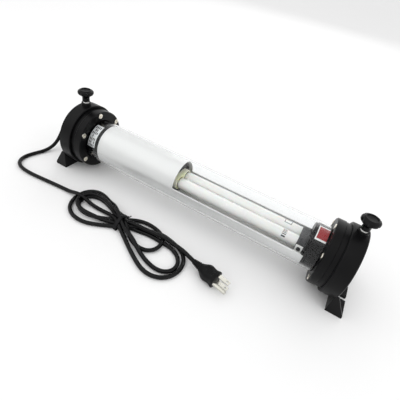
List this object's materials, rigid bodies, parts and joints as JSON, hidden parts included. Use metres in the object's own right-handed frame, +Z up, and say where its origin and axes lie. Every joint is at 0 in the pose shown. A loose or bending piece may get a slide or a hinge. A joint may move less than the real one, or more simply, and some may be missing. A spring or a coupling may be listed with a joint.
{
  "type": "tubular machine lamp",
  "caption": "Sealed tubular work lamp: clear tube with a cut-away reflector sleeve and twin-tube lamp, flanged black end caps, turning foot brackets with thumb knobs, tied cord and plug.",
  "frame": {"origin": "on the floor, under the middle of the clear tube", "axes": "+X along the tube from the cord end to the lampholder end, +Z up out of the clamp knobs, -Y towards the cord's hank"},
  "size_m": [0.572, 0.2022, 0.1339],
  "materials": {
    "clear_glass": "clear, gloss",
    "cap_black": "moulded, semi-matt",
    "flange_black": "machined face, semi-matt",
    "bracket_black": "moulded, satin",
    "bright_screw": "bright zinc",
    "zinc_screw": "zinc",
    "seal_rubber": "matt",
    "insert_black": "moulded",
    "sleeve_aluminium": "satin bright",
    "tray_zinc": "zinc plated sheet",
    "case_white": "white enamel",
    "terminal_ivory": "moulded",
    "wire_green": "PVC insulation",
    "wire_white": "PVC insulation",
    "lamp_white": "phosphor-coated glass",
    "lamp_base_grey": "moulded",
    "pin_brass": "bright",
    "holder_black": "moulded",
    "tab_white": "white",
    "screw_black": "black oxide",
    "clip_cream": "moulded",
    "label_silver": "silver film",
    "label_red": "printed film",
    "gland_black": "nylon",
    "relief_black": "flexible",
    "pad_acetal": "natural",
    "knob_black": "satin",
    "stud_zinc": "zinc plated",
    "washer_nylon": "natural nylon",
    "cord_black": "PVC sheath, semi-gloss",
    "tie_black": "coated wire tie",
    "plug_black": "moulded PVC",
    "blade_brass": "bright"
  },
  "bodies": {
    "lamp": {"clear_tube": "clear_glass", "left_end_cap": "cap_black", "right_end_cap": "cap_black", "left_flange": "flange_black", "right_flange": "flange_black", "left_flange_screws": "bright_screw", "right_flange_screws": "bright_screw", "left_tube_seal": "seal_rubber", "right_tube_seal": "seal_rubber", "left_insert": "insert_black", "right_insert": "insert_black", "left_insert_screws": "zinc_screw", "right_insert_screws": "zinc_screw", "reflector_sleeve": "sleeve_aluminium", "sleeve_bulkhead": "insert_black", "ballast_tray": "tray_zinc", "ballast_case": "case_white", "ballast_screws": "zinc_screw", "terminal_block": "terminal_ivory", "mains_wires": "wire_green", "lamp_leads": "wire_white", "lamp_tubes": "lamp_white", "lamp_base": "lamp_base_grey", "lamp_pins": "pin_brass", "lampholder": "holder_black", "lampholder_tab": "tab_white", "tab_screw": "screw_black", "lamp_clip": "clip_cream", "clip_screw": "zinc_screw", "rating_label": "label_silver", "warning_label": "label_red", "gland_body": "gland_black", "gland_locknut": "gland_black", "gland_nut": "gland_black", "strain_relief": "relief_black", "cord_entry": "cord_black", "cord_lead": "cord_black", "cord_hank": "cord_black", "cord_tail": "cord_black", "cord_tie": "tie_black", "plug_body": "plug_black", "plug_relief": "plug_black", "plug_blades": "blade_brass", "plug_ground_pin": "blade_brass"},
    "left_foot": {"left_bracket": "bracket_black"},
    "left_pad": {"left_pressure_pad": "pad_acetal"},
    "left_thumbscrew": {"left_knob": "knob_black", "left_clamp_screw": "stud_zinc", "left_knob_washer": "washer_nylon"},
    "right_foot": {"right_bracket": "bracket_black"},
    "right_pad": {"right_pressure_pad": "pad_acetal"},
    "right_thumbscrew": {"right_knob": "knob_black", "right_clamp_screw": "stud_zinc", "right_knob_washer": "washer_nylon"}
  },
  "joints": [
    {"name": "left_foot_turn", "type": "hinge", "parent": "lamp", "child": "left_foot", "pos_m": [-0.2305, 0, 0.055], "axis": [1, 0, 0], "continuous": true},
    {"name": "left_pad_lift", "type": "slide", "parent": "left_foot", "child": "left_pad", "axis": [0, 0, 1], "range_m": [0, 0.002]},
    {"name": "left_knob_turn", "type": "hinge", "parent": "left_pad", "child": "left_thumbscrew", "pos_m": [-0.2305, 0, 0.12], "axis": [0, 0, 1], "range_deg": [0, 720]},
    {"name": "right_foot_turn", "type": "hinge", "parent": "lamp", "child": "right_foot", "pos_m": [0.2305, 0, 0.055], "axis": [1, 0, 0], "continuous": true},
    {"name": "right_pad_lift", "type": "slide", "parent": "right_foot", "child": "right_pad", "axis": [0, 0, 1], "range_m": [0, 0.002]},
    {"name": "right_knob_turn", "type": "hinge", "parent": "right_pad", "child": "right_thumbscrew", "pos_m": [0.2305, 0, 0.12], "axis": [0, 0, 1], "range_deg": [0, 720]}
  ],
  "couplings": [
    {"joint": "left_knob_turn", "follows": "left_pad_lift", "rad_per_m": 6283.2},
    {"joint": "right_knob_turn", "follows": "right_pad_lift", "rad_per_m": 6283.2}
  ]
}
